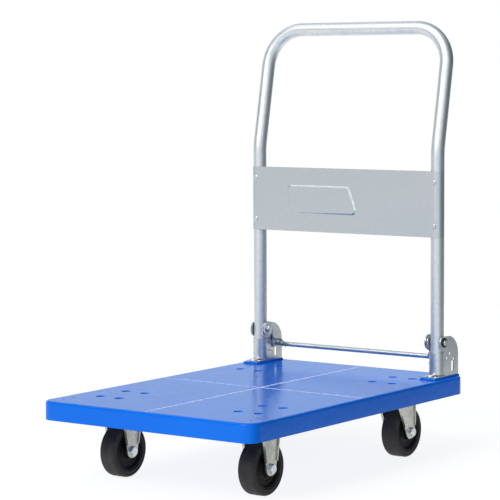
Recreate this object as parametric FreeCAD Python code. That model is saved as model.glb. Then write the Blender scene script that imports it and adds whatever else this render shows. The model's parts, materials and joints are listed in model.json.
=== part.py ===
import FreeCAD, Part
import math
import os

# Folding platform cart: a moulded deck on two rigid and two swivel casters, with a tube handle that
# folds forward when the foot bar is pressed.
# Millimetres. +X is across the deck, +Y points to the handle end, +Z is up. The origin is on the
# floor under the middle of the deck. Paired pieces are drawn on the +X side and mirrored.

# ---- deck ----
deck_length = 720.0
deck_width = 480.0
deck_depth = 35.0
deck_skirt = 6.0
deck_wall = 4.0
deck_skin = 4.0
deck_corner_radius = 25.0
deck_edge_radius = 5.0
rib_thickness = 3.0
rib_depth = 18.0
rib_pitch = 60.0
line_width = 7.0
line_depth = 0.7
line_margin = 3.0
drain_radius = 2.5
drain_insets = [(30.0, 61.0), (26.0, 36.0)]

# ---- casters ----
caster_side_inset = 81.5
caster_end_inset = 140.0
caster_headroom = 25.0
plate_margin_x = 9.5
plate_margin_y = 8.5
plate_sheet = 2.5
plate_corner = 8.0
hole_spacing_x = 45.0
hole_spacing_y = 75.0
pad_margin = 5.0
wheel_radius = 50.0
wheel_width = 34.0
wheel_side_gap = 3.5
wheel_web = 22.0
wheel_rim_step = 1.5
wheel_rim = 4.0
wheel_draft = 2.0
tyre_depth = 12.0
tyre_shoulder = 5.0
hub_radius = 14.5
bush_radius = 10.5
bush_space = 8.0
sleeve_radius = 7.0
axle_radius = 5.0
axle_flats = 16.0
axle_head = 5.5
axle_nut_height = 8.0
fork_sheet = 2.5
fork_lip = 2.5
fork_end_radius = 12.5
fork_bolt_gap = 10.5
trail = 33.0
swivel_fork_front = 16.0
swivel_fork_rear = 46.0
race_radius = 21.0
race_width = 16.0
race_depth = 3.5
ball_radius = 3.0
ball_count = 18
kingpin_radius = 6.0
kingpin_head = 11.0
kingpin_head_height = 4.5
kingpin_chamfer = 1.2
ring_sheet = 1.2
ring_gap = 0.4
ring_top_gap = 1.0

# ---- handle ----
tube_radius = 13.25
tube_wall = 1.5
leg_side_inset = 27.5
leg_end_inset = 62.0
foot_rise = 8.0
kink_rise = 446.0
bar_rise = 684.0
bar_lean = 46.0
kink_radius = 120.0
corner_radius = 75.0
plug_length = 18.0
plug_chamfer = 1.0
guard_sheet = 1.2
guard_rise = 276.0
guard_height = 129.0
guard_wrap = 85.0
guard_flange = 9.0
guard_flange_gap = 3.0
guard_rivet_inset = 22.0
press_height = 3.0
press_slope = 3.0
press_low = 37.0
press_high = 94.0
press_top_ends = (-135.0, 15.5)
press_bottom_ends = (-126.0, 36.5)
press_corner = 9.0
rivet_radius = 2.4
rivet_head = 4.6
rivet_head_height = 1.6
rivet_head_round = 1.1
rivet_tail = 1.5

# ---- handle brackets and pivot, with rises above the deck's boss and places behind the leg ----
bracket_sheet = 2.0
bracket_side_gap = 0.5
bracket_rear = 54.0
bracket_tab_reach = 10.0
bolt_web_gap = 0.75
rear_bolt_away = 32.0
bracket_corner = 5.0
ear_corner = 3.0
boss_height = 3.0
boss_margin = 3.0
boss_rear_step = 2.5
boss_corner = 4.0
boss_edge = 1.2
pad_extra = 2.0
base_sheet = 2.2
web_bottom_rise = 4.0
web_top_rise = 47.0
ear_rise = 79.0
ear_front = -14.5
ear_front_radius = 12.0
ear_rear_radius = 39.0
ear_neck = 2.0
ear_neck_radius = 7.0
pivot_rise = 67.0
pin_radius = 4.5
pin_head_step = 1.2
pin_head_height = 2.2
pin_head_round = 1.0
pin_tail = 6.0
pin_nut_flats = 14.0
pin_nut_height = 5.0
bush_body = 6.5
bush_flange = 9.5
bush_flange_sheet = 1.5
window_away = 32.0
window_rises = (7.0, 30.0)
window_width = 9.0
ear_hole_radius = 3.4
ear_holes = [(23.0, 44.0), (12.5, 35.5), (37.0, 32.5)]

# ---- foot release, with rises above the deck's boss and places behind the leg ----
lever_away = 26.0
lever_rise = 37.0
lever_sheet = 3.0
lever_stud_corners = [(-9.0, 7.0, 9.0), (-8.0, -10.0, 7.0)]
lever_bar_corners = [(2.0, -9.0, 7.0), (9.0, 1.0, 6.0), (1.0, 9.0, 6.0)]
lever_back_corner = (4.0, 21.0, 12.0)
tooth_back_corner = (4.0, 2.5, 2.0)
bar_away = 46.0
foot_bar_rise = 31.0
bar_radius = 5.0
bar_chamfer = 0.8
stud_radius = 4.0
stud_shoulder = 1.0
stud_collar = 6.5
stud_head = 7.0
stud_head_height = 2.0
cam_radius = 15.0
tooth_angle = -19.0
tooth_spread = 9.0
tooth_gap = 0.48
notch_spread = 13.0
notch_depth = 4.5
spring_radius = 6.2
spring_wire = 0.9
spring_turns = 4
spring_pitch = 2.1
spring_coil_steps = 16
spring_run_steps = 4
spring_anchor_away = 8.0
spring_anchor_rise = 21.0

# ---- fasteners and clearances ----
m8_radius = 4.0
m8_hole = 4.25
m8_flats = 13.0
m8_nut = 6.5
bolt_tail = 3.0
axle_tail = 1.5
cap_radius = 8.0
cap_height = 2.0
cap_round = 1.2
cap_recess = 9.0
cap_recess_depth = 4.6
dome_radius = 8.5
dome_height = 3.5
dome_round = 2.45
running_fit = 0.08
side_gap = 0.3
bond_gap = 0.05

# ---- levels and places that follow ----
caster_height = 2 * wheel_radius + caster_headroom
deck_bottom = caster_height - deck_skirt
deck_top = deck_bottom + deck_depth
skin_bottom = deck_top - deck_skin
boss_top = deck_top + boss_height
pad_low = skin_bottom - rib_depth - pad_extra
caster_x = deck_width / 2 - caster_side_inset
caster_y = deck_length / 2 - caster_end_inset
plate_width = hole_spacing_x + 2 * plate_margin_x
plate_length = hole_spacing_y + 2 * plate_margin_y
plate_bottom = caster_height - plate_sheet
fork_inner = wheel_width / 2 + wheel_side_gap
fork_outer = fork_inner + fork_sheet
hub_half = fork_inner - side_gap
race_outer = race_radius + race_width / 2
race_inner = race_radius - race_width / 2
upper_race_foot = plate_bottom - race_depth
ball_level = upper_race_foot - ball_radius / 2
lower_race_top = ball_level - ball_radius / 2
crown_top = lower_race_top - race_depth
crown_low = crown_top - fork_sheet
leg_x = deck_width / 2 - leg_side_inset
leg_y = deck_length / 2 - leg_end_inset
leg_foot = boss_top + foot_rise
guard_bottom = deck_top + guard_rise
guard_top = guard_bottom + guard_height
guard_back = leg_y - tube_radius - bond_gap
guard_front = guard_back - guard_sheet
pivot_z = boss_top + pivot_rise
ear_half = tube_radius + bracket_side_gap + bracket_sheet
inner_face = leg_x - ear_half
outer_face = leg_x + ear_half
bolt_seat = boss_top + base_sheet
front_bolt_away = -(ear_half + bolt_web_gap + dome_radius)
bracket_bolts_away = [front_bolt_away, rear_bolt_away]
tab_front = leg_y + front_bolt_away - bracket_tab_reach
lever_y = leg_y + lever_away
lever_z = boss_top + lever_rise
foot_bar_y = leg_y + bar_away
foot_bar_z = boss_top + foot_bar_rise
anchor_y = leg_y + spring_anchor_away
anchor_z = boss_top + spring_anchor_rise
lever_outer = inner_face - bush_flange_sheet - side_gap
lever_inner = lever_outer - lever_sheet
stud_head_near = lever_inner - side_gap
stud_head_far = stud_head_near - stud_head_height

V = FreeCAD.Vector
X_AXIS = V(1, 0, 0)
Y_AXIS = V(0, 1, 0)
Z_AXIS = V(0, 0, 1)
CORNER_SIGNS = [(-1, -1), (1, -1), (1, 1), (-1, 1)]


# ---- drawing helpers ----
def box(x0, x1, y0, y1, z0, z1):
    return Part.makeBox(x1 - x0, y1 - y0, z1 - z0, V(x0, y0, z0))


def bar_x(radius, x0, x1, y, z):
    return Part.makeCylinder(radius, x1 - x0, V(x0, y, z), X_AXIS)


def bar_y(radius, x, y0, y1, z):
    return Part.makeCylinder(radius, y1 - y0, V(x, y0, z), Y_AXIS)


def bar_z(radius, x, y, z0, z1):
    return Part.makeCylinder(radius, z1 - z0, V(x, y, z0), Z_AXIS)


def ring_x(outer, inner, x0, x1, y, z):
    return bar_x(outer, x0, x1, y, z).cut(bar_x(inner, x0 - 1, x1 + 1, y, z))


def ring_z(outer, inner, x, y, z0, z1):
    return bar_z(outer, x, y, z0, z1).cut(bar_z(inner, x, y, z0 - 1, z1 + 1))


def rod_between(start, end, radius):
    return Part.makeCylinder(radius, start.distanceToPoint(end), start, end - start)


def arc_at(before, point, after, radius):
    """Start, middle and end of the tangent arc that turns the corner at a point."""
    back = (before - point).normalize()
    ahead = (after - point).normalize()
    half = back.getAngle(ahead) / 2
    reach = radius / math.tan(half)
    middle = point + (back + ahead).normalize() * (radius / math.sin(half) - radius)
    return point + back * reach, middle, point + ahead * reach


def rounded_wire(corners):
    """A closed wire through (point, radius) corners, each corner turned by a tangent arc."""
    count = len(corners)
    arcs = [arc_at(corners[i - 1][0], corners[i][0], corners[(i + 1) % count][0], corners[i][1])
            for i in range(count)]
    edges = []
    for i in range(count):
        start, middle, end = arcs[i]
        if corners[i][1] > 0:
            edges.append(Part.Arc(start, middle, end).toShape())
        following = arcs[(i + 1) % count][0]
        if end.distanceToPoint(following) > 1e-6:
            edges.append(Part.LineSegment(end, following).toShape())
    return Part.Wire(edges)


def bent_path(corners):
    """An open wire of straight runs and tangent arcs through (point, radius) corners."""
    edges = []
    here = corners[0][0]
    for i in range(1, len(corners) - 1):
        start, middle, end = arc_at(corners[i - 1][0], corners[i][0], corners[i + 1][0], corners[i][1])
        edges.append(Part.LineSegment(here, start).toShape())
        edges.append(Part.Arc(start, middle, end).toShape())
        here = end
    edges.append(Part.LineSegment(here, corners[-1][0]).toShape())
    return Part.Wire(edges)


def plate_x(corners, x0, x1):
    """A flat piece of (y, z, radius) corners, from x0 to x1."""
    wire = rounded_wire([(V(x0, y, z), r) for y, z, r in corners])
    return Part.Face(wire).extrude(V(x1 - x0, 0, 0))


def plate_y(corners, y0, y1):
    """A flat piece of (x, z, radius) corners, from y0 to y1."""
    wire = rounded_wire([(V(x, y0, z), r) for x, z, r in corners])
    return Part.Face(wire).extrude(V(0, y1 - y0, 0))


def slab(half_x, half_y, corner, z0, z1, x=0.0, y=0.0):
    """A flat rectangle with rounded corners in plan, centred at x, y."""
    wire = rounded_wire([(V(x + a * half_x, y + b * half_y, z0), corner) for a, b in CORNER_SIGNS])
    return Part.Face(wire).extrude(V(0, 0, z1 - z0))


def turned_x(profile, x, y, z):
    """A solid of revolution about the X direction, from closed (x, radius) points."""
    points = [V(x + a, y, z + r) for a, r in profile]
    points.append(points[0])
    return Part.Face(Part.makePolygon(points)).revolve(V(x, y, z), X_AXIS, 360)


def hexagon(flats, height, bore, place, direction):
    """A hexagonal nut or bolt head with chamfered corners; bore 0 leaves it solid."""
    radius = flats / math.sqrt(3)
    turns = [math.radians(60 * i + 30) for i in range(7)]
    outline = Part.makePolygon([V(radius * math.cos(turn), radius * math.sin(turn), 0) for turn in turns])
    body = Part.Face(outline).extrude(V(0, 0, height))
    cone_reach = height + flats / 2
    cone = Part.makeCone(flats / 2 + cone_reach, flats / 2, cone_reach, V(0, 0, height - cone_reach))
    body = body.common(cone)
    if bore > 0:
        body = body.cut(bar_z(bore, 0, 0, -1, height + 1))
    body.Placement = FreeCAD.Placement(place, FreeCAD.Rotation(Z_AXIS, direction))
    return body


def upper_edges(shape, level):
    """The edges that lie wholly at a level or above."""
    return [e for e in shape.Edges if min(v.Z for v in e.Vertexes) > level - 0.01]


def mirrored(shape):
    return shape.mirror(V(0, 0, 0), X_AXIS)


def both_sides(shape):
    return Part.makeCompound([shape, mirrored(shape)])


def save(name, shape):
    shape.exportStep("parts/" + name + ".step")


# ---- deck ----
def caster_places():
    return {"front_left": (-caster_x, -caster_y), "front_right": (caster_x, -caster_y),
            "rear_left": (-caster_x, caster_y), "rear_right": (caster_x, caster_y)}


def plate_holes(x, y):
    """Centres of the four bolt holes of the caster at x, y."""
    return [(x + a * hole_spacing_x / 2, y + b * hole_spacing_y / 2) for a, b in CORNER_SIGNS]


def caster_holes():
    return [hole for x, y in caster_places().values() for hole in plate_holes(x, y)]


def bracket_bolt_points():
    return [(side * leg_x, leg_y + away) for side in (-1, 1) for away in bracket_bolts_away]


def drain_points():
    return [(side * (deck_width / 2 - a), b - deck_length / 2) for side in (-1, 1) for a, b in drain_insets]


def deck_shell():
    half_x, half_y = deck_width / 2, deck_length / 2
    outer = slab(half_x, half_y, deck_corner_radius, deck_bottom, deck_top)
    outer = outer.makeFillet(deck_edge_radius, upper_edges(outer, deck_top))
    inner = slab(half_x - deck_wall, half_y - deck_wall, deck_corner_radius - deck_wall,
                 deck_bottom - 1, skin_bottom)
    return outer.cut(inner)


def rib_lines(reach):
    """Places of the ribs across one direction, spaced from the middle and kept off the skirt."""
    count = int((reach - rib_pitch / 2) / rib_pitch)
    return [i * rib_pitch for i in range(-count, count + 1)]


def deck_ribs():
    reach_x = deck_width / 2 - deck_wall / 2
    reach_y = deck_length / 2 - deck_wall / 2
    half = rib_thickness / 2
    low, high = skin_bottom - rib_depth, skin_bottom + deck_skin / 2
    along = [box(x - half, x + half, -reach_y, reach_y, low, high) for x in rib_lines(reach_x)]
    across = [box(-reach_x, reach_x, y - half, y + half, low, high) for y in rib_lines(reach_y)]
    return along + across


def caster_pads():
    """Thick pads under the skin that the casters are bolted to."""
    half_x, half_y = plate_width / 2 + pad_margin, plate_length / 2 + pad_margin
    return [slab(half_x, half_y, plate_corner, caster_height, skin_bottom + 1, x, y)
            for x, y in caster_places().values()]


def handle_boss():
    """Raised boss that a bracket stands on, and the thick pad under it."""
    half = ear_half + boss_margin
    front = tab_front - boss_margin
    rear = leg_y + bracket_rear + boss_rear_step
    boss = slab(half, (rear - front) / 2, boss_corner, deck_top - 1, boss_top, leg_x, (front + rear) / 2)
    boss = boss.makeFillet(boss_edge, upper_edges(boss, boss_top))
    pad = box(leg_x - half, deck_width / 2, front, deck_length / 2, pad_low, skin_bottom + 1)
    inset = deck_wall / 2
    inside = slab(deck_width / 2 - inset, deck_length / 2 - inset, deck_corner_radius - inset,
                  pad_low, skin_bottom + 1)
    return [boss, pad.common(inside)]


def center_lines():
    """Two shallow lines that cross at the middle of the deck, short of the rounded rim."""
    reach_x = deck_width / 2 - deck_edge_radius - line_margin
    reach_y = deck_length / 2 - deck_edge_radius - line_margin
    half, floor = line_width / 2, deck_top - line_depth
    along = box(-half, half, -reach_y, reach_y, floor, deck_top + 1)
    across = box(-reach_x, reach_x, -half, half, floor, deck_top + 1)
    return [along, across]


def make_deck():
    boss = handle_boss()
    adds = deck_ribs() + caster_pads() + boss + [mirrored(piece) for piece in boss]
    solid = deck_shell().fuse(adds).removeSplitter()
    cuts = center_lines()
    for x, y in caster_holes():
        cuts.append(bar_z(m8_hole, x, y, caster_height - 1, deck_top + 1))
        cuts.append(bar_z(cap_recess, x, y, deck_top - cap_recess_depth, deck_top + 1))
    cuts += [bar_z(m8_hole, x, y, deck_bottom, boss_top + 1) for x, y in bracket_bolt_points()]
    cuts += [bar_z(drain_radius, x, y, skin_bottom - rib_depth - 1, deck_top + 1) for x, y in drain_points()]
    return solid.cut(cuts)


def caster_bolt(x, y):
    floor = deck_top - cap_recess_depth
    head = bar_z(cap_radius, x, y, floor, floor + cap_height)
    head = head.makeFillet(cap_round, upper_edges(head, floor + cap_height))
    return head.fuse(bar_z(m8_radius, x, y, plate_bottom - m8_nut - bolt_tail, floor + cap_height / 2))


def make_caster_bolts():
    return Part.makeCompound([caster_bolt(x, y) for x, y in caster_holes()])


def make_caster_nuts():
    return Part.makeCompound([hexagon(m8_flats, m8_nut, m8_radius + bond_gap, V(x, y, plate_bottom), -Z_AXIS)
                              for x, y in caster_holes()])


# ---- casters ----
def mounting_plate(x, y):
    plate = slab(plate_width / 2, plate_length / 2, plate_corner, plate_bottom, caster_height, x, y)
    return plate.cut([bar_z(m8_hole, a, b, plate_bottom - 1, caster_height + 1) for a, b in plate_holes(x, y)])


def leg_outline(front, rear, top, axle_y, inset):
    """Side outline (y, z, radius) of a tapering fork leg, drawn in by inset."""
    end = fork_end_radius
    low = wheel_radius - end
    round_end = end - inset - 0.01
    return [(front + inset, top, 0), (rear - inset, top, 0),
            (axle_y + end - inset, low + inset, round_end), (axle_y - end + inset, low + inset, round_end)]


def fork_leg(x, side, front, rear, top, axle_y):
    """One leg of a fork, with a lip along its two sloping edges."""
    inner, outer = x + side * fork_inner, x + side * fork_outer
    lip_outer = outer + side * fork_lip
    leg = plate_x(leg_outline(front, rear, top, axle_y, 0), inner, outer)
    rim = plate_x(leg_outline(front, rear, top, axle_y, 0), outer, lip_outer)
    middle = plate_x(leg_outline(front, rear, top, axle_y, fork_sheet), outer - side, lip_outer + side)
    above = plate_x([(front + fork_sheet, top - 1, 0), (rear - fork_sheet, top - 1, 0),
                     (rear - fork_sheet, top + 1, 0), (front + fork_sheet, top + 1, 0)],
                    outer - side, lip_outer + side)
    lip_low = wheel_radius + fork_end_radius
    foot = box(x - 2 * wheel_width, x + 2 * wheel_width, front - wheel_radius, rear + wheel_radius, 0, lip_low)
    return [leg] + rim.cut([middle, above, foot]).Solids


def fork_legs(x, front, rear, top, axle_y):
    return fork_leg(x, -1, front, rear, top, axle_y) + fork_leg(x, 1, front, rear, top, axle_y)


def axle_hole(x, axle_y):
    return bar_x(axle_radius + bond_gap, x - fork_outer - 2 * fork_lip, x + fork_outer + 2 * fork_lip,
                 axle_y, wheel_radius)


def rigid_fork(x, y):
    half = hole_spacing_y / 2 - fork_bolt_gap
    crown = box(x - fork_outer, x + fork_outer, y - half, y + half, plate_bottom - fork_sheet, plate_bottom)
    legs = fork_legs(x, y - half, y + half, plate_bottom, y)
    return crown.fuse(legs).removeSplitter().cut(axle_hole(x, y))


def race_groove(x, y):
    return Part.makeTorus(race_radius, ball_radius + running_fit, V(x, y, ball_level), Z_AXIS)


def swivel_plate(x, y):
    race = ring_z(race_outer, race_inner, x, y, upper_race_foot, plate_bottom)
    plate = mounting_plate(x, y).fuse(race)
    return plate.cut([race_groove(x, y), bar_z(kingpin_radius, x, y, plate_bottom - 1, caster_height + 1)])


def swivel_fork(x, y):
    front, rear = y - swivel_fork_front, y + swivel_fork_rear
    disc = bar_z(race_outer + ring_gap + ring_sheet, x, y, crown_low, crown_top)
    arm = box(x - fork_outer, x + fork_outer, front, rear, crown_low, crown_top)
    race = ring_z(race_outer - ring_sheet, race_inner, x, y, crown_top - bond_gap, lower_race_top)
    legs = fork_legs(x, front, rear, crown_top, y + trail)
    fork = disc.fuse([arm, race] + legs).removeSplitter()
    pin_hole = bar_z(kingpin_radius + running_fit, x, y, crown_low - 1, lower_race_top + 1)
    return fork.cut([race_groove(x, y), pin_hole, axle_hole(x, y + trail)])


def dust_ring(x, y):
    """Thin ring on the fork that closes the gap round the upper race."""
    inner = race_outer + ring_gap
    return ring_z(inner + ring_sheet, inner, x, y, crown_top, plate_bottom - ring_top_gap)


def kingpin(x, y):
    head_top = crown_low - side_gap
    head = bar_z(kingpin_head, x, y, head_top - kingpin_head_height, head_top)
    lower_rim = [e for e in head.Edges if max(v.Z for v in e.Vertexes) < head_top - 1]
    head = head.makeChamfer(kingpin_chamfer, lower_rim)
    return head.fuse(bar_z(kingpin_radius, x, y, head_top - 1, caster_height))


def race_balls(x, y):
    turns = [math.radians(360.0 * i / ball_count) for i in range(ball_count)]
    return Part.makeCompound([Part.makeSphere(ball_radius, V(x + race_radius * math.cos(turn),
                                                             y + race_radius * math.sin(turn), ball_level))
                              for turn in turns])


def tyre(x, y):
    half, inner = wheel_width / 2, wheel_radius - tyre_depth
    band = ring_x(wheel_radius, inner, x - half, x + half, y, wheel_radius)
    rim = [e for e in band.Edges if e.BoundBox.ZLength > 2 * wheel_radius - 1 and e.BoundBox.XLength < 1]
    return band.makeFillet(tyre_shoulder, rim)


def wheel_center(x, y):
    """Hub, web and rim of the wheel in one moulding, bored for its two bushes."""
    rim_out = wheel_radius - tyre_depth - bond_gap
    rim_in = rim_out - wheel_rim
    rim_half = wheel_width / 2 - wheel_rim_step
    web = wheel_web / 2
    half = [(hub_half, bush_radius), (hub_half, hub_radius), (web, hub_radius + wheel_draft),
            (web, rim_in - wheel_draft), (rim_half, rim_in), (rim_half, rim_out)]
    return turned_x(half + [(-a, r) for a, r in reversed(half)], x, y, wheel_radius)


def wheel_bushes(x, y):
    bore, inner_end = sleeve_radius + running_fit, bush_space / 2
    return Part.makeCompound([ring_x(bush_radius, bore, x - hub_half, x - inner_end, y, wheel_radius),
                              ring_x(bush_radius, bore, x + inner_end, x + hub_half, y, wheel_radius)])


def axle_sleeve(x, y):
    return ring_x(sleeve_radius, axle_radius + bond_gap, x - fork_inner, x + fork_inner, y, wheel_radius)


def axle_bolt(x, y):
    head = hexagon(axle_flats, axle_head, 0, V(x + fork_outer, y, wheel_radius), X_AXIS)
    tail = x - fork_outer - axle_nut_height - axle_tail
    return head.fuse(bar_x(axle_radius, tail, x + fork_outer + 1, y, wheel_radius))


def axle_nut(x, y):
    return hexagon(axle_flats, axle_nut_height, axle_radius + bond_gap,
                   V(x - fork_outer, y, wheel_radius), -X_AXIS)


def save_wheel(name, x, y):
    save(name + "_tyre", tyre(x, y))
    save(name + "_wheel_center", wheel_center(x, y))
    save(name + "_wheel_bushes", wheel_bushes(x, y))
    save(name + "_axle_sleeve", axle_sleeve(x, y))
    save(name + "_axle_bolt", axle_bolt(x, y))
    save(name + "_axle_nut", axle_nut(x, y))


def save_rigid_caster(name, x, y):
    save(name + "_plate", mounting_plate(x, y))
    save(name + "_fork", rigid_fork(x, y))
    save_wheel(name, x, y)


def save_swivel_caster(name, x, y):
    save(name + "_plate", swivel_plate(x, y))
    save(name + "_fork", swivel_fork(x, y))
    save(name + "_kingpin", kingpin(x, y))
    save(name + "_balls", race_balls(x, y))
    save(name + "_dust_ring", dust_ring(x, y))
    save_wheel(name, x, y + trail)


# ---- handle ----
def handle_path():
    kink_z, top_z, top_y = deck_top + kink_rise, deck_top + bar_rise, leg_y + bar_lean
    return bent_path([(V(-leg_x, leg_y, leg_foot), 0), (V(-leg_x, leg_y, kink_z), kink_radius),
                      (V(-leg_x, top_y, top_z), corner_radius), (V(leg_x, top_y, top_z), corner_radius),
                      (V(leg_x, leg_y, kink_z), kink_radius), (V(leg_x, leg_y, leg_foot), 0)])


def swept_tube(path, radius):
    start = path.Edges[0]
    section = Part.Wire([Part.makeCircle(radius, start.valueAt(start.FirstParameter), Z_AXIS)])
    return path.makePipeShell([section], True, False)


def rivet_places():
    heights = (guard_bottom + guard_rivet_inset, guard_top - guard_rivet_inset)
    return [(side * leg_x, z) for side in (-1, 1) for z in heights]


def make_handle_tube():
    path = handle_path()
    tube = swept_tube(path, tube_radius).cut(swept_tube(path, tube_radius - tube_wall))
    reach = 2 * tube_radius
    cuts = [bar_x(pin_radius, x - reach, x + reach, leg_y, pivot_z) for x in (-leg_x, leg_x)]
    cuts += [bar_y(rivet_radius, x, leg_y - reach, leg_y, z) for x, z in rivet_places()]
    return tube.cut(cuts)


def make_leg_plugs():
    plug = bar_z(tube_radius - tube_wall - bond_gap, leg_x, leg_y, leg_foot, leg_foot + plug_length)
    return both_sides(plug.makeChamfer(plug_chamfer, upper_edges(plug, leg_foot + plug_length)))


def guard_wrap_piece():
    """The end of the guard plate that curls round the outside of a leg."""
    inner = tube_radius + bond_gap
    full = ring_z(inner + guard_sheet, inner, leg_x, leg_y, guard_bottom, guard_top)
    reach = 2 * tube_radius
    turn = math.radians(guard_wrap - 90)
    keep = [(0, 0), (0, -reach), (reach, -reach), (reach * math.cos(turn), reach * math.sin(turn)), (0, 0)]
    wedge = Part.makePolygon([V(leg_x + a, leg_y + b, guard_bottom) for a, b in keep])
    return full.common(Part.Face(wedge).extrude(V(0, 0, guard_height)))


def press_outline(inset):
    """Corners (x, z, radius) of the pressed trapezoid, drawn in by inset."""
    low, high = guard_bottom + press_low + inset, guard_bottom + press_high - inset
    corner = press_corner - inset
    return [(press_bottom_ends[0] + inset, low, corner), (press_bottom_ends[1] - inset, low, corner),
            (press_top_ends[1] - inset, high, corner), (press_top_ends[0] + inset, high, corner)]


def pressed_panel():
    panel = plate_y(press_outline(0), guard_front - press_height, guard_front + guard_sheet / 2)
    rim = [e for e in panel.Edges if max(v.Y for v in e.Vertexes) < guard_front - press_height + 0.01]
    return panel.makeChamfer(press_slope, rim)


def make_handle_plate():
    sheet = box(-leg_x, leg_x, guard_front, guard_back, guard_bottom, guard_top)
    end = guard_wrap_piece()
    reach = leg_x - tube_radius - guard_flange_gap
    flanges = [box(-reach, reach, guard_front, guard_front + guard_flange, z, z + guard_sheet)
               for z in (guard_bottom, guard_top - guard_sheet)]
    plate = sheet.fuse([end, mirrored(end), pressed_panel()] + flanges).removeSplitter()
    hollow = plate_y(press_outline(guard_sheet + press_slope), guard_front - press_height + guard_sheet,
                     guard_back + 1)
    holes = [bar_y(rivet_radius, x, guard_front - 1, leg_y, z) for x, z in rivet_places()]
    return plate.cut([hollow] + holes)


def plate_rivet(x, z):
    head = bar_y(rivet_head, x, guard_front - rivet_head_height, guard_front, z)
    rim = [e for e in head.Edges if max(v.Y for v in e.Vertexes) < guard_front - rivet_head_height + 0.01]
    head = head.makeFillet(rivet_head_round, rim)
    tail = leg_y - tube_radius + tube_wall + rivet_tail
    return head.fuse(bar_y(rivet_radius, x, guard_front - rivet_head_height / 2, tail, z))


def make_plate_rivets():
    return Part.makeCompound([plate_rivet(x, z) for x, z in rivet_places()])


# ---- brackets ----
def ear_corners():
    """Side outline (y, z, radius) of a bracket's ear: upper lobe in front, round shoulder behind."""
    neck, rear, top = leg_y + ear_neck, leg_y + bracket_rear, boss_top + ear_rise
    front = leg_y + ear_front
    return [(neck, boss_top, 0), (rear, boss_top, ear_corner), (rear, top, ear_rear_radius),
            (front, top, ear_front_radius), (front, pivot_z - ear_front_radius, ear_neck_radius),
            (neck, boss_top + web_top_rise - 1, ear_corner)]


def front_web():
    """Half-round wall in front of the leg, which is the handle's upright stop."""
    low, high = boss_top + web_bottom_rise, boss_top + web_top_rise
    rear = leg_y + 2 * ear_neck
    wall = ring_z(ear_half, ear_half - bracket_sheet, leg_x, leg_y, low, high)
    arc = wall.cut(box(inner_face - 1, outer_face + 1, leg_y, leg_y + ear_half + 1, low - 1, high + 1))
    inner_side = box(inner_face, inner_face + bracket_sheet, leg_y, rear, low, high)
    outer_side = box(outer_face - bracket_sheet, outer_face, leg_y, rear, low, high)
    return [arc, inner_side, outer_side]


def window():
    """Upright slot through both ears."""
    half = window_width / 2
    low, high = boss_top + window_rises[0], boss_top + window_rises[1]
    middle = leg_y + window_away
    corners = [(middle - half, low), (middle + half, low), (middle + half, high), (middle - half, high)]
    return plate_x([(y, z, half - 0.01) for y, z in corners], inner_face - 1, outer_face + 1)


def make_bracket():
    inner = plate_x(ear_corners(), inner_face, inner_face + bracket_sheet)
    outer = plate_x(ear_corners(), outer_face - bracket_sheet, outer_face)
    base = box(inner_face, outer_face, tab_front, leg_y + bracket_rear, boss_top, bolt_seat)
    corners = [e for e in base.Edges if max(v.Y for v in e.Vertexes) < tab_front + 1
               and abs(e.Vertexes[0].Z - e.Vertexes[1].Z) > 1]
    base = base.makeFillet(bracket_corner, corners)
    bracket = base.fuse([inner, outer] + front_web()).removeSplitter()
    cuts = [bar_x(bush_body, inner_face - 1, outer_face + 1, leg_y, pivot_z), window()]
    cuts += [bar_x(ear_hole_radius, leg_x, outer_face + 1, leg_y + away, boss_top + rise)
             for away, rise in ear_holes]
    cuts += [bar_z(m8_hole, leg_x, leg_y + away, boss_top - 1, bolt_seat + 1) for away in bracket_bolts_away]
    cuts.append(bar_x(stud_radius - stud_shoulder, inner_face - 1, leg_x, lever_y, lever_z))
    cuts.append(bar_x(spring_wire + running_fit, inner_face - 1, leg_x, anchor_y, anchor_z))
    return bracket.cut(cuts)


def bracket_bolt(x, y):
    head = bar_z(dome_radius, x, y, bolt_seat, bolt_seat + dome_height)
    head = head.makeFillet(dome_round, upper_edges(head, bolt_seat + dome_height))
    return head.fuse(bar_z(m8_radius, x, y, pad_low - m8_nut - bolt_tail, bolt_seat + 1))


def make_bracket_bolts():
    return Part.makeCompound([bracket_bolt(x, y) for x, y in bracket_bolt_points()])


def make_bracket_nuts():
    return Part.makeCompound([hexagon(m8_flats, m8_nut, m8_radius + bond_gap, V(x, y, pad_low), -Z_AXIS)
                              for x, y in bracket_bolt_points()])


def make_pivot_bushes():
    """Black flanged bushes in both ears; the pivot pin turns in them."""
    outer = bar_x(bush_body, outer_face - bracket_sheet, outer_face, leg_y, pivot_z)
    outer = outer.fuse(bar_x(bush_flange, outer_face, outer_face + bush_flange_sheet, leg_y, pivot_z))
    inner = bar_x(bush_body, inner_face, inner_face + bracket_sheet, leg_y, pivot_z)
    inner = inner.fuse(bar_x(bush_flange, inner_face - bush_flange_sheet, inner_face, leg_y, pivot_z))
    bore = bar_x(pin_radius + running_fit, lever_inner, outer_face + bush_flange + 1, leg_y, pivot_z)
    halves = [outer.cut(bore), inner.cut(bore)]
    return Part.makeCompound(halves + [mirrored(half) for half in halves])


# ---- pivot pins and foot release ----
def make_pivot_pins():
    head_start = outer_face + bush_flange_sheet + side_gap
    head = bar_x(pin_radius + pin_head_step, head_start, head_start + pin_head_height, leg_y, pivot_z)
    rim = [e for e in head.Edges if e.BoundBox.XMin > head_start + pin_head_height - 0.1]
    head = head.makeFillet(pin_head_round, rim)
    return both_sides(head.fuse(bar_x(pin_radius, lever_inner - pin_tail, head_start + 1, leg_y, pivot_z)))


def pivot_offset(radius, degrees):
    """The (y, z) place at a distance and angle from the handle's pivot."""
    turn = math.radians(degrees)
    return leg_y + radius * math.cos(turn), pivot_z + radius * math.sin(turn)


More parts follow.
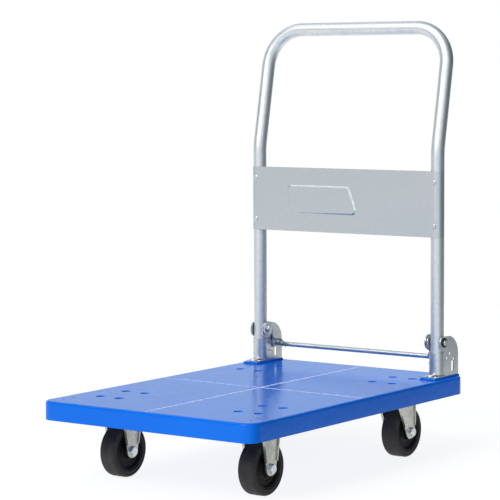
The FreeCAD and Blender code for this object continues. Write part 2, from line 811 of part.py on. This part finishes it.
def make_lock_cams():
    """Discs on the pivot pins, each with a notch for its lever's tooth."""
    disc = bar_x(cam_radius, lever_inner, lever_outer, leg_y, pivot_z)
    deep, clear = cam_radius - notch_depth, cam_radius + notch_depth
    start, end = tooth_angle - notch_spread, tooth_angle + notch_spread
    corners = [pivot_offset(radius, degrees)
               for radius, degrees in ((deep, start), (clear, start), (clear, end), (deep, end))]
    notch = plate_x([(y, z, 0) for y, z in corners], lever_inner - 1, lever_outer + 1)
    return both_sides(disc.cut([notch, bar_x(pin_radius, lever_inner - 1, lever_outer + 1, leg_y, pivot_z)]))


def make_pin_nuts():
    return both_sides(hexagon(pin_nut_flats, pin_nut_height, pin_radius + bond_gap,
                              V(lever_inner, leg_y, pivot_z), -X_AXIS))


def corners_from(y, z, corners):
    """Outline corners given as (away, rise, radius) from the place y, z."""
    return [(y + away, z + rise, radius) for away, rise, radius in corners]


def lever_corners():
    """Side outline of a release lever: tooth at the cam, boss round its stud, arm to the foot bar."""
    tip = cam_radius + tooth_gap
    upper = pivot_offset(tip, tooth_angle + tooth_spread)
    lower = pivot_offset(tip, tooth_angle - tooth_spread)
    tooth = [(upper[0], upper[1], 0), (lower[0], lower[1], 0)]
    return (tooth + corners_from(lever_y, lever_z, lever_stud_corners)
            + corners_from(foot_bar_y, foot_bar_z, lever_bar_corners)
            + corners_from(lever_y, lever_z, [lever_back_corner])
            + corners_from(upper[0], upper[1], [tooth_back_corner]))


def make_release_lever():
    lever = plate_x(lever_corners(), lever_inner, lever_outer)
    return lever.cut([bar_x(stud_radius + running_fit, lever_inner - 1, lever_outer + 1, lever_y, lever_z),
                      bar_x(bar_radius, lever_inner - 1, lever_outer + 1, foot_bar_y, foot_bar_z)])


def make_release_bar():
    bar = bar_x(bar_radius, -lever_outer, lever_outer, foot_bar_y, foot_bar_z)
    rims = [e for e in bar.Edges if e.BoundBox.XLength < 0.01]
    return bar.makeChamfer(bar_chamfer, rims)


def make_lever_studs():
    """Riveted studs that carry the levers, long enough to hold the springs."""
    tip = stud_head_far - (spring_turns + 1) * spring_pitch - 2 * spring_wire
    collar = lever_outer + side_gap
    shaft = bar_x(stud_radius, tip, collar + side_gap, lever_y, lever_z)
    pieces = [bar_x(stud_radius - stud_shoulder, inner_face - 1, inner_face + bracket_sheet, lever_y, lever_z),
              bar_x(stud_collar, collar, inner_face, lever_y, lever_z),
              bar_x(stud_head, stud_head_far, stud_head_near, lever_y, lever_z)]
    return both_sides(shaft.fuse(pieces))


def spring_angles():
    """Where the spring's two legs leave the coil, as angles from +Y towards +Z in radians."""
    anchor_away, anchor_up = anchor_y - lever_y, anchor_z - lever_z
    bar_off, bar_up = foot_bar_y - lever_y, foot_bar_z - lever_z
    start = math.atan2(anchor_up, anchor_away) - math.acos(spring_radius / math.hypot(anchor_away, anchor_up))
    reach = spring_radius + bar_radius + spring_wire + bond_gap
    end = math.atan2(bar_up, bar_off) - math.asin(reach / math.hypot(bar_off, bar_up)) + math.pi / 2
    return start, end


def coil_point(x, turn):
    return V(x, lever_y + spring_radius * math.cos(turn), lever_z + spring_radius * math.sin(turn))


def points_between(start, end):
    """Points spaced along a straight run, without its end."""
    return [start + (end - start) * (i / spring_run_steps) for i in range(spring_run_steps)]


def spring_points():
    """Points along the wire: the end hooked in the ear, the first leg, the coil, and the leg under the bar."""
    start, end = spring_angles()
    turns = spring_turns + ((start - end) / (2 * math.pi)) % 1
    near = stud_head_far - spring_wire - side_gap
    steps = int(spring_coil_steps * turns)
    coil = [coil_point(near - spring_pitch * turns * i / steps, start - 2 * math.pi * turns * i / steps)
            for i in range(steps + 1)]
    hooked = V(inner_face + bracket_sheet, anchor_y, anchor_z)
    bend_start, bend_middle, bend_end = arc_at(hooked, V(near, anchor_y, anchor_z), coil[0], 2 * spring_wire)
    leg_end = coil[-1] + V(0, math.sin(end), -math.cos(end)) * (foot_bar_y - lever_y)
    return (points_between(hooked, bend_start) + [bend_start, bend_middle] + points_between(bend_end, coil[0])
            + coil[:-1] + points_between(coil[-1], leg_end) + [leg_end])


def make_lever_spring():
    """Torsion spring round a stud: one leg in the bracket's ear, the other under the foot bar."""
    points = spring_points()
    wire = Part.BSplineCurve()
    wire.interpolate(points)
    section = Part.Wire([Part.makeCircle(spring_wire, points[0], X_AXIS)])
    return Part.Wire([wire.toShape()]).makePipeShell([section], True, False)


def main():
    os.makedirs("parts", exist_ok=True)
    save("deck", make_deck())
    save("caster_bolts", make_caster_bolts())
    save("caster_nuts", make_caster_nuts())
    for name, (x, y) in caster_places().items():
        if name.startswith("front"):
            save_rigid_caster(name, x, y)
        else:
            save_swivel_caster(name, x, y)
    save("handle_tube", make_handle_tube())
    save("leg_plugs", make_leg_plugs())
    save("handle_plate", make_handle_plate())
    save("plate_rivets", make_plate_rivets())
    bracket = make_bracket()
    save("right_bracket", bracket)
    save("left_bracket", mirrored(bracket))
    save("bracket_bolts", make_bracket_bolts())
    save("bracket_nuts", make_bracket_nuts())
    save("pivot_bushes", make_pivot_bushes())
    save("pivot_pins", make_pivot_pins())
    save("lock_cams", make_lock_cams())
    save("pin_nuts", make_pin_nuts())
    save("release_bar", make_release_bar())
    lever = make_release_lever()
    save("right_release_lever", lever)
    save("left_release_lever", mirrored(lever))
    save("lever_studs", make_lever_studs())
    save("lever_springs", both_sides(make_lever_spring()))


main()
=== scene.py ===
import json
import math

import bmesh
import bpy
from mathutils import Matrix, Vector


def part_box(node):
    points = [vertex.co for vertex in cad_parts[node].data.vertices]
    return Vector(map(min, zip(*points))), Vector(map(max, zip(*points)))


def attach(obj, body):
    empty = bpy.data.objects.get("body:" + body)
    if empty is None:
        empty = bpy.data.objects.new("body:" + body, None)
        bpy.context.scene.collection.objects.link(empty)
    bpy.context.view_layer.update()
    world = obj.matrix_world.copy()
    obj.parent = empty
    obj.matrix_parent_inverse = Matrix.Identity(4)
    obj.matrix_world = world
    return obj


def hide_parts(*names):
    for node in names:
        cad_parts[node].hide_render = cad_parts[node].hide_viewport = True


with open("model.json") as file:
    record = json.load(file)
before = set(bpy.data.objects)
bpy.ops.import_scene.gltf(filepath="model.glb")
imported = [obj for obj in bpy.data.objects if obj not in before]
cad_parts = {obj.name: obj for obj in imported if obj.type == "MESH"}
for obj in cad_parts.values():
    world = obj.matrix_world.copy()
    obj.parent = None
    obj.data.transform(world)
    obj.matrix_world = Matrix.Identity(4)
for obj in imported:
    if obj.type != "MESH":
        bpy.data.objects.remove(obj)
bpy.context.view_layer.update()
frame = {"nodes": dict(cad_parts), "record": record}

# A folding platform cart: glossy blue moulded deck, galvanised handle, zinc-plated hinge
# brackets, and four casters with dark grey tyres on black wheels. Metres, in the frame's axes.
# Directions are degrees round the cart, where 0 is its front and 90 its right.

MM = 0.001
UP = Vector((0, 0, 1))
WHITE = (1, 1, 1, 1)

# ---- camera: a long lens that looks along the deck from its front right ----
CAMERA_PLACE = Vector((2.37875, -3.31382, 0.7594))
CAMERA_DIRECTION = 36.0
CAMERA_ELEVATION = 4.84
CAMERA_ROLL = -0.27
CAMERA_LENS = 155.5
CAMERA_SENSOR = 36.0
CAMERA_SHIFT = (0.0051, 0.0029)

# ---- room: edges are how squarely a view faces a wall, where the wall fades in and is full ----
ROOM_STRENGTH = 0.05
ROOM_TINT = (0.76, 0.91, 1.0)
WALL_DIRECTION = -130.0
WALL_STRENGTH = 0.92
WALL_EDGES = (0.35, 0.92)
FRONT_DIRECTION = 50.0
FRONT_STRENGTH = 0.5
FRONT_EDGES = (0.80, 0.97)
CEILING_STRENGTH = 0.30
CEILING_EDGES = (0.3, 1.0)
SHADE_DIRECTION = 116.0
SHADE_EDGES = (0.28, 0.80)
BELOW_GLOW = 1.02
BELOW_SHADE = 0.27
HORIZON_EDGES = (0.01, -0.01)
CAMERA_BACKDROP = 1.0

# ---- floor ----
FLOOR_SPANS = ((-2.6, 0.72), (-2.4, 2.6))
FLOOR_TONE = (0.15, 0.15, 0.15)
FLOOR_GLOW = 0.88

# ---- suns: direction, elevation, strength and spread ----
SUNS = {
    "key": (-8.0, 38.0, 2.6, 40.0),
    "overhead": (20.0, 74.0, 0.2, 18.0),
    "left_glint": (-82.0, 54.0, 0.11, 14.0),
    "right_glint": (51.0, 23.5, 0.26, 10.0),
}

# ---- zinc: streaks are scales along x, y and z, and the smallest one runs with the streaks ----
UPRIGHT = (30, 30, 4)
SHEET = (6, 30, 30)
LEVER = (4, 60, 60)
ZINC_GRAIN = 0.12
SPANGLE_SHARE = 0.35
# light colour, dark colour, roughness, spangle scale, streaks, grain
ZINC_LOOKS = {
    "galvanised_tube": ((0.78, 0.79, 0.80), (0.70, 0.71, 0.72), 0.48, 150.0, UPRIGHT, 0.015),
    "zinc_sheet": ((0.70, 0.71, 0.71), (0.64, 0.65, 0.66), 0.40, 120.0, SHEET, 0.05),
    "bracket_zinc": ((0.76, 0.78, 0.78), (0.60, 0.63, 0.64), 0.36, 260.0, UPRIGHT, 0.06),
    "lever_zinc": ((0.70, 0.73, 0.73), (0.55, 0.58, 0.59), 0.36, 260.0, LEVER, 0.06),
    "caster_zinc": ((0.62, 0.63, 0.57), (0.46, 0.47, 0.42), 0.40, 240.0, UPRIGHT, ZINC_GRAIN),
    "fastener_zinc": ((0.82, 0.84, 0.84), (0.62, 0.64, 0.65), 0.38, 420.0, UPRIGHT, ZINC_GRAIN),
    "spring_steel": ((0.42, 0.43, 0.44), (0.22, 0.23, 0.24), 0.32, 500.0, UPRIGHT, ZINC_GRAIN),
}

# ---- the wheels' own shapes ----
CORNERS = ("front_left", "front_right", "rear_left", "rear_right")
LATHE_STEPS = 144
WHEEL_SMOOTH_ANGLE = 30
WHEEL_CHAMFER = 0.8 * MM
TYRE_SHOULDER = 5.0 * MM
TYRE_SHOULDER_TURNS = range(0, 91, 10)
TYRE_CROWN = 0.3 * MM
TYRE_SEAM = 0.5 * MM
TYRE_BAND = (0.80, 0.90)
TYRE_BAND_DEPTH = 0.8 * MM
HUB_RADIUS = 14.5 * MM
WEB_HALF = 11.0 * MM
RIM_STEP = 1.5 * MM
RIM_WALL = 4.0 * MM
RING_HALF = 0.9 * MM
RING_HEIGHT = 0.9 * MM

# ---- the bands of raised points in the deck's two lines ----
BOSS_HEIGHT = 3.0 * MM
BAND_HALF = 3.2 * MM
BAND_REACH_GAP = 9.0 * MM
BAND_FLOOR = 0.65 * MM
BAND_BASE = 0.15 * MM
POINT_HEIGHT = 0.60 * MM
POINT_PITCH = 2.6 * MM
POINT_LENGTH = 2.1 * MM
POINT_WIDTH = 1.3 * MM
POINT_TAPER = 0.55
POINT_ROWS = (-0.75, -0.25, 0.25, 0.75)
ROW_START = 0.25
ROW_STAGGER = 0.5


def toward(direction, elevation=0.0):
    """The unit vector from the cart at a direction and elevation in degrees."""
    turn, rise = math.radians(direction), math.radians(elevation)
    flat = math.cos(rise)
    return Vector((math.sin(turn) * flat, -math.cos(turn) * flat, math.sin(rise)))


# ---------------------------------------------------------------- node helpers
class Tree:
    """A short way to write a node tree. A value that goes into a node is a number, or an output."""

    # The Mix node's numbered sockets, for plain numbers and for colours.
    MIX_NUMBERS = {"data_type": "FLOAT", "inputs": (0, 2, 3), "output": 0}
    MIX_COLORS = {"data_type": "RGBA", "inputs": (0, 6, 7), "output": 2}

    def __init__(self, tree):
        self.nodes = tree.nodes
        self.links = tree.links

    def feed(self, node, socket, value):
        if isinstance(value, bpy.types.NodeSocket):
            self.links.new(value, node.inputs[socket])
        else:
            node.inputs[socket].default_value = value

    def add(self, kind, inputs=None, **settings):
        node = self.nodes.new(kind)
        for name, value in settings.items():
            setattr(node, name, value)
        for socket, value in (inputs or {}).items():
            self.feed(node, socket, value)
        return node

    def combine(self, operation, first, second):
        return self.add("ShaderNodeMath", {0: first, 1: second}, operation=operation).outputs[0]

    def mix(self, kind, factor, first, second):
        values = dict(zip(kind["inputs"], (factor, first, second)))
        node = self.add("ShaderNodeMix", data_type=kind["data_type"])
        for socket, value in values.items():
            self.feed(node, socket, value)
        return node.outputs[kind["output"]]

    def span(self, source, given, wanted, curve="LINEAR"):
        """The source's given (low, high) range turned into the wanted one, and held outside it."""
        inputs = {"Value": source, "From Min": given[0], "From Max": given[1],
                  "To Min": wanted[0], "To Max": wanted[1]}
        return self.add("ShaderNodeMapRange", inputs, interpolation_type=curve).outputs["Result"]


class Maker(Tree):
    """A material's node tree on top of a Principled shader, in the object's own coordinates."""

    def __init__(self, name, color, roughness, metallic=0.0):
        self.material = bpy.data.materials.new(name)
        self.material.use_nodes = True
        super().__init__(self.material.node_tree)
        self.shader = self.nodes["Principled BSDF"]
        self.feed(self.shader, "Metallic", metallic)
        self.feed(self.shader, "Roughness", roughness)
        self.feed(self.shader, "Base Color", (*color, 1))
        self.place = self.add("ShaderNodeTexCoord").outputs["Object"]

    def stretched(self, scale):
        """The object's own coordinates, scaled along each axis."""
        node = self.add("ShaderNodeMapping", {"Vector": self.place, "Scale": scale})
        return node.outputs["Vector"]

    def noise(self, scale, detail, roughness=0.55, vector=None):
        inputs = {"Vector": vector or self.place, "Scale": scale, "Detail": detail,
                  "Roughness": roughness}
        return self.add("ShaderNodeTexNoise", inputs).outputs["Fac"]

    def cells(self, scale):
        """A random grey for each crystal."""
        crystals = self.add("ShaderNodeTexVoronoi", {"Vector": self.place, "Scale": scale})
        return self.add("ShaderNodeRGBToBW", {"Color": crystals.outputs["Color"]}).outputs[0]

    def ramp(self, source, *stops):
        """A colour from a source, with (position, colour) stops."""
        node = self.add("ShaderNodeValToRGB", {"Fac": source})
        for element, (position, color) in zip(node.color_ramp.elements, stops):
            element.position = position
            element.color = (*color, 1)
        return node.outputs["Color"]

    def bump(self, height, strength, distance, under=None):
        inputs = {"Height": height, "Strength": strength, "Distance": distance}
        node = self.add("ShaderNodeBump", inputs)
        if under:
            self.feed(node, "Normal", under)
        return node.outputs["Normal"]

    def finish(self, color, roughness, normal):
        self.feed(self.shader, "Base Color", color)
        self.feed(self.shader, "Roughness", roughness)
        self.feed(self.shader, "Normal", normal)
        return self.material


# ---------------------------------------------------------------- materials
def deck_plastic():
    """Glossy blue polypropylene: slow tone changes, flecks, fine rubbed scratches, orange peel."""
    m = Maker("deck_plastic", (0.002, 0.13, 0.70), roughness=0.16)
    m.feed(m.shader, "IOR", 1.30)
    m.feed(m.shader, "Specular IOR Level", 0.35)
    tone = m.noise(scale=3.0, detail=3.0)
    color = m.ramp(tone, (0.3, (0.001, 0.120, 0.62)), (0.7, (0.002, 0.140, 0.69)))
    flecks = m.span(m.noise(scale=900.0, detail=2.0), given=(0.62, 0.75), wanted=(0, 0.35))
    color = m.mix(m.MIX_COLORS, flecks, color, (0.01, 0.18, 0.78, 1))
    scratches = m.noise(scale=1.0, detail=5.0, roughness=0.6, vector=m.stretched((22, 260, 60)))
    roughness = m.span(scratches, given=(0.3, 0.75), wanted=(0.09, 0.24))
    peel = m.bump(m.noise(scale=75.0, detail=3.0, roughness=0.5), strength=0.30, distance=0.0016)
    fine = m.noise(scale=650.0, detail=2.0, roughness=0.6)
    return m.finish(color, roughness, m.bump(fine, strength=0.10, distance=0.0004, under=peel))


def zinc(name, light, dark, roughness, spangle, streaks, grain):
    """Zinc on steel: crystal spangle and faint drawn streaks, which change its shine as well."""
    m = Maker(name, light, roughness, metallic=1.0)
    streaked = m.noise(scale=1.0, detail=4.0, roughness=0.6, vector=m.stretched(streaks))
    blend = m.combine("ADD", m.combine("MULTIPLY", m.cells(spangle), SPANGLE_SHARE),
                      m.combine("MULTIPLY", streaked, 1 - SPANGLE_SHARE))
    color = m.ramp(blend, (0.3, dark), (0.62, light))
    shine = m.span(blend, given=(0.25, 0.7), wanted=(roughness + 0.08, roughness - 0.05))
    fine = m.noise(scale=420.0, detail=3.0, roughness=0.6)
    fine = m.bump(fine, strength=grain, distance=0.0003)
    return m.finish(color, shine, m.bump(streaked, strength=grain / 2, distance=0.0005, under=fine))


def rubber():
    """Dark grey tyre rubber with dust in its grain."""
    m = Maker("tyre_rubber", (0.03, 0.028, 0.027), roughness=0.62)
    m.feed(m.shader, "Specular IOR Level", 0.18)
    dust = m.noise(scale=38.0, detail=6.0, roughness=0.65)
    color = m.ramp(dust, (0.35, (0.024, 0.023, 0.024)), (0.72, (0.054, 0.051, 0.052)))
    roughness = m.span(dust, given=(0.3, 0.7), wanted=(0.5, 0.72))
    fine = m.noise(scale=900.0, detail=3.0, roughness=0.6)
    fine = m.bump(fine, strength=0.25, distance=0.0003)
    return m.finish(color, roughness, m.bump(dust, strength=0.08, distance=0.0008, under=fine))


def black_plastic(name, color, roughness):
    """Black plastic with a slightly lighter mottle."""
    m = Maker(name, color, roughness)
    m.feed(m.shader, "Specular IOR Level", 0.2)
    mottle = m.noise(scale=55.0, detail=5.0, roughness=0.6)
    lighter = tuple(part * 2.1 + 0.004 for part in color)
    shade = m.ramp(mottle, (0.35, color), (0.75, lighter))
    shine = m.span(mottle, given=(0.3, 0.7), wanted=(roughness - 0.08, roughness + 0.12))
    fine = m.noise(scale=1100.0, detail=2.0)
    return m.finish(shade, shine, m.bump(fine, strength=0.2, distance=0.0002))


def bronze():
    """Sintered bronze with dark pores."""
    m = Maker("bush_bronze", (0.55, 0.38, 0.2), roughness=0.42, metallic=1.0)
    pores = m.noise(scale=700.0, detail=3.0, roughness=0.7)
    color = m.ramp(pores, (0.35, (0.30, 0.20, 0.10)), (0.6, (0.58, 0.41, 0.22)))
    roughness = m.span(pores, given=(0.3, 0.7), wanted=(0.55, 0.35))
    return m.finish(color, roughness, m.bump(pores, strength=0.2, distance=0.0002))


def line_plastic():
    """The deck's plastic in its lines: a paler blue, patchy with noise, and rougher where it is
    paler.
    """
    m = Maker("deck_lines", (0.45, 0.52, 0.85), roughness=0.45)
    pale_patches = m.noise(scale=110.0, detail=4.0, roughness=0.7)
    color = m.ramp(pale_patches, (0.34, (0.16, 0.28, 0.80)), (0.52, (0.60, 0.66, 0.92)))
    roughness = m.span(pale_patches, given=(0.3, 0.7), wanted=(0.3, 0.55))
    fine = m.noise(scale=800.0, detail=2.0)
    return m.finish(color, roughness, m.bump(fine, strength=0.3, distance=0.0003))


def make_materials():
    """The material of each slot, and that of the bands in the deck's lines."""
    materials = {name: zinc(name, *look) for name, look in ZINC_LOOKS.items()}
    materials["deck_plastic"] = deck_plastic()
    materials["tyre_rubber"] = rubber()
    materials["wheel_plastic"] = black_plastic("wheel_plastic", (0.003, 0.003, 0.003), 0.50)
    materials["black_nylon"] = black_plastic("black_nylon", (0.008, 0.008, 0.009), 0.38)
    materials["bush_bronze"] = bronze()
    materials["deck_lines"] = line_plastic()
    return materials


# ---------------------------------------------------------------- pieces
def new_piece(name, mesh, material, body, smooth_angle=None):
    piece = bpy.data.objects.new(name, mesh)
    bpy.context.scene.collection.objects.link(piece)
    mesh.materials.append(material)
    if smooth_angle:
        for polygon in mesh.polygons:
            polygon.use_smooth = True
        mesh.set_sharp_from_angle(angle=math.radians(smooth_angle))
    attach(piece, body)
    return piece


def lathe(name, profile, x, y, z):
    """A closed (offset, radius) profile turned about the X direction."""
    mesh = bpy.data.meshes.new(name)
    points, faces, count = [], [], len(profile)
    for step in range(LATHE_STEPS):
        turn = 2 * math.pi * step / LATHE_STEPS
        points += [(x + away, y + radius * math.cos(turn), z + radius * math.sin(turn))
                   for away, radius in profile]
    for step in range(LATHE_STEPS):
        here, ahead = step * count, (step + 1) % LATHE_STEPS * count
        for i in range(count):
            j = (i + 1) % count
            faces.append((here + i, ahead + i, ahead + j, here + j))
    mesh.from_pydata(points, [], faces)
    face_outward(mesh)
    return mesh


def face_outward(mesh):
    shell = bmesh.new()
    shell.from_mesh(mesh)
    bmesh.ops.recalc_face_normals(shell, faces=shell.faces)
    shell.to_mesh(mesh)
    shell.free()


def both_halves(half):
    """A profile and its mirror image, as one closed loop."""
    return half + [(-away, radius) for away, radius in reversed(half)]


def center_and_reach(node):
    low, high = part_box(node)
    return (low + high) / 2, (high - low) / 2


def tyre_profile(half, outer, inner):
    """Sidewall with a shallow sunk band, round shoulder, and a fine seam round the tread."""
    cut = WHEEL_CHAMFER
    crown = outer - TYRE_CROWN
    sunk = half - TYRE_BAND_DEPTH
    band_in, band_out = (share * outer for share in TYRE_BAND)
    side = [(half - cut, inner), (half, inner + cut), (half, band_in - cut),
            (sunk, band_in), (sunk, band_out - cut), (half, band_out)]
    turns = [math.radians(turn) for turn in TYRE_SHOULDER_TURNS]
    shoulder = [(half - TYRE_SHOULDER + TYRE_SHOULDER * math.cos(turn),
                 crown - TYRE_SHOULDER + TYRE_SHOULDER * math.sin(turn)) for turn in turns]
    seam = [(TYRE_SEAM, crown), (TYRE_SEAM / 2, outer)]
    return both_halves(side + shoulder + seam)


def wheel_profile(hub_half, rim_half, outer, bore):
    """Bored hub, web with one raised ring, and a rim with broken edges."""
    cut = WHEEL_CHAMFER
    rim_in = outer - RIM_WALL
    ring = (HUB_RADIUS + rim_in) / 2
    ring_top = WEB_HALF + RING_HEIGHT
    hub = [(hub_half - cut / 2, bore), (hub_half, bore + cut / 2),
           (hub_half, HUB_RADIUS - cut), (hub_half - cut, HUB_RADIUS)]
    web = [(WEB_HALF + 2 * cut, HUB_RADIUS + cut), (WEB_HALF, HUB_RADIUS + 3 * cut),
           (WEB_HALF, ring - 2 * RING_HALF), (ring_top, ring - RING_HALF),
           (ring_top, ring + RING_HALF), (WEB_HALF, ring + 2 * RING_HALF),
           (WEB_HALF, rim_in - 3 * cut), (WEB_HALF + cut, rim_in - cut)]
    rim = [(rim_half - cut, rim_in), (rim_half, rim_in + cut),
           (rim_half, outer - cut), (rim_half - cut, outer)]
    return both_halves(hub + web + rim)


def make_wheels(materials):
    """Moulded tyres and discs in place of the frame's plain ones."""
    for corner in CORNERS:
        tyre, disc, bushes = corner + "_tyre", corner + "_wheel_center", corner + "_wheel_bushes"
        middle, reach = center_and_reach(tyre)
        disc_reach = center_and_reach(disc)[1]
        bore = center_and_reach(bushes)[1].z
        profile = tyre_profile(reach.x, reach.z, disc_reach.z)
        piece = moulded(corner, "tyre", profile, middle, materials, "tyre_rubber")
        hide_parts(tyre)
        profile = wheel_profile(disc_reach.x, reach.x - RIM_STEP, disc_reach.z, bore)
        piece = moulded(corner, "disc", profile, middle, materials, "wheel_plastic")
        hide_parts(disc)


def moulded(corner, part, profile, middle, materials, slot):
    """A turned piece that goes round with its corner's wheel."""
    name = corner + "_moulded_" + part
    mesh = lathe(name, profile, *middle)
    return new_piece(name, mesh, materials[slot], corner + "_wheel", WHEEL_SMOOTH_ANGLE)


def add_frustum(shell, x, y, low, high, half_x, half_y, taper):
    """A closed four-sided block whose top is smaller than its foot."""
    rings = []
    for z, share in ((low, 1.0), (high, taper)):
        rings.append([shell.verts.new((x + a * half_x * share, y + b * half_y * share, z))
                      for a, b in ((-1, -1), (1, -1), (1, 1), (-1, 1))])
    foot, top = rings
    shell.faces.new(foot[::-1])
    shell.faces.new(top)
    for i in range(4):
        j = (i + 1) % 4
        shell.faces.new((foot[i], foot[j], top[j], top[i]))


def make_band(name, along_y, floor, materials, spans):
    """A thin strip in a deck line with staggered rows of raised points."""
    def turned(across, along):
        return (across, along) if along_y else (along, across)

    shell = bmesh.new()
    top = floor + BAND_BASE
    point_size = turned(POINT_WIDTH / 2, POINT_LENGTH / 2)
    for start, end in spans:
        middle, half = (start + end) / 2, (end - start) / 2
        add_frustum(shell, *turned(0, middle), floor, top, *turned(BAND_HALF, half), 1.0)
        count = int((end - start) / POINT_PITCH)
        for i in range(count):
            for order, row in enumerate(POINT_ROWS):
                steps = i + ROW_START + ROW_STAGGER * (order % 2)
                shift = steps * POINT_PITCH - count * POINT_PITCH / 2
                place = turned(row * BAND_HALF, middle + shift)
                add_frustum(shell, *place, top - BAND_BASE / 2, top + POINT_HEIGHT,
                            *point_size, POINT_TAPER)
    mesh = bpy.data.meshes.new(name)
    shell.to_mesh(mesh)
    shell.free()
    new_piece(name, mesh, materials["deck_lines"], "deck")


def make_bands(materials):
    """One unbroken band along the deck, and two lengths across it that stop at the first."""
    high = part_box("deck")[1]
    floor = high.z - BOSS_HEIGHT - BAND_FLOOR
    reach_x, reach_y = high.x - BAND_REACH_GAP, high.y - BAND_REACH_GAP
    make_band("band_along", True, floor, materials, [(-reach_y, reach_y)])
    make_band("band_across", False, floor, materials,
              [(-reach_x, -BAND_HALF), (BAND_HALF, reach_x)])


# ---------------------------------------------------------------- light, floor and camera
def camera_axes():
    """The camera's right, up and back directions."""
    roll = math.radians(CAMERA_ROLL)
    back = toward(CAMERA_DIRECTION, CAMERA_ELEVATION)
    right = (-back).cross(UP).normalized()
    up = right.cross(-back)
    rolled_right = right * math.cos(roll) + up * math.sin(roll)
    rolled_up = up * math.cos(roll) - right * math.sin(roll)
    return rolled_right, rolled_up, back


def make_camera():
    data = bpy.data.cameras.new("camera")
    data.lens = CAMERA_LENS
    data.sensor_width = CAMERA_SENSOR
    data.shift_x, data.shift_y = CAMERA_SHIFT
    camera = bpy.data.objects.new("camera", data)
    bpy.context.scene.collection.objects.link(camera)
    turn = Matrix(camera_axes()).transposed().to_4x4()
    camera.matrix_world = Matrix.Translation(CAMERA_PLACE) @ turn
    bpy.context.scene.camera = camera


def soft_sun(name, direction, elevation, strength, spread):
    """A wide, even light from far away."""
    data = bpy.data.lights.new(name, "SUN")
    data.energy = strength
    data.angle = math.radians(spread)
    light = bpy.data.objects.new(name, data)
    light.rotation_euler = (-toward(direction, elevation)).to_track_quat("-Z", "Y").to_euler()
    bpy.context.scene.collection.objects.link(light)


def patch(tree, view, facing, edges, strengths):
    """Strength that goes smoothly from the first to the second as the view nears a direction."""
    squarely = tree.add("ShaderNodeVectorMath", {0: view, 1: facing}, operation="DOT_PRODUCT")
    return tree.span(squarely.outputs["Value"], edges, strengths, curve="SMOOTHSTEP")


def make_world():
    """A dim room: bright walls behind the cart's left side and in front, a soft ceiling, and a
    pale ground that is darker to one side. The camera itself sees plain white."""
    world = bpy.data.worlds.new("studio")
    bpy.context.scene.world = world
    world.use_nodes = True
    tree = Tree(world.node_tree)
    view = tree.add("ShaderNodeTexCoord").outputs["Generated"]
    by_camera = tree.add("ShaderNodeLightPath").outputs["Is Camera Ray"]
    wall = patch(tree, view, toward(WALL_DIRECTION), WALL_EDGES, (ROOM_STRENGTH, WALL_STRENGTH))
    front = patch(tree, view, toward(FRONT_DIRECTION), FRONT_EDGES, (0.0, FRONT_STRENGTH))
    ceiling = patch(tree, view, UP, CEILING_EDGES, (0.0, CEILING_STRENGTH))
    above = tree.combine("ADD", tree.combine("ADD", wall, front), ceiling)
    below = patch(tree, view, toward(SHADE_DIRECTION), SHADE_EDGES, (BELOW_GLOW, BELOW_SHADE))
    is_below = patch(tree, view, UP, HORIZON_EDGES, (0.0, 1.0))
    room = tree.mix(tree.MIX_NUMBERS, is_below, above, below)
    background = tree.nodes["Background"]
    tree.feed(background, "Strength", tree.mix(tree.MIX_NUMBERS, by_camera, room, CAMERA_BACKDROP))
    tree.feed(background, "Color", tree.mix(tree.MIX_COLORS, by_camera, (*ROOM_TINT, 1), WHITE))


def make_floor():
    """A small plain floor that glows near white, so that its edges don't show."""
    mesh = bpy.data.meshes.new("floor")
    (x0, x1), (y0, y1) = FLOOR_SPANS
    mesh.from_pydata([(x0, y0, 0), (x1, y0, 0), (x1, y1, 0), (x0, y1, 0)], [], [(0, 1, 2, 3)])
    floor = bpy.data.objects.new("floor", mesh)
    bpy.context.scene.collection.objects.link(floor)
    m = Maker("floor", FLOOR_TONE, roughness=0.9)
    m.feed(m.shader, "Emission Color", WHITE)
    m.feed(m.shader, "Emission Strength", FLOOR_GLOW)
    m.feed(m.shader, "Specular IOR Level", 0.0)
    mesh.materials.append(m.material)


def main():
    scene = bpy.context.scene
    scene.view_settings.view_transform = "Standard"
    materials = make_materials()
    slots = {row["node"]: row["material_slot"] for row in frame["record"]["subparts"]}
    for name, node in frame["nodes"].items():
        node.data.materials.clear()
        node.data.materials.append(materials[slots[name]])
    make_wheels(materials)
    make_bands(materials)
    make_camera()
    make_world()
    make_floor()
    for name, sun in SUNS.items():
        soft_sun(name, *sun)


main()
bpy.context.view_layer.update()
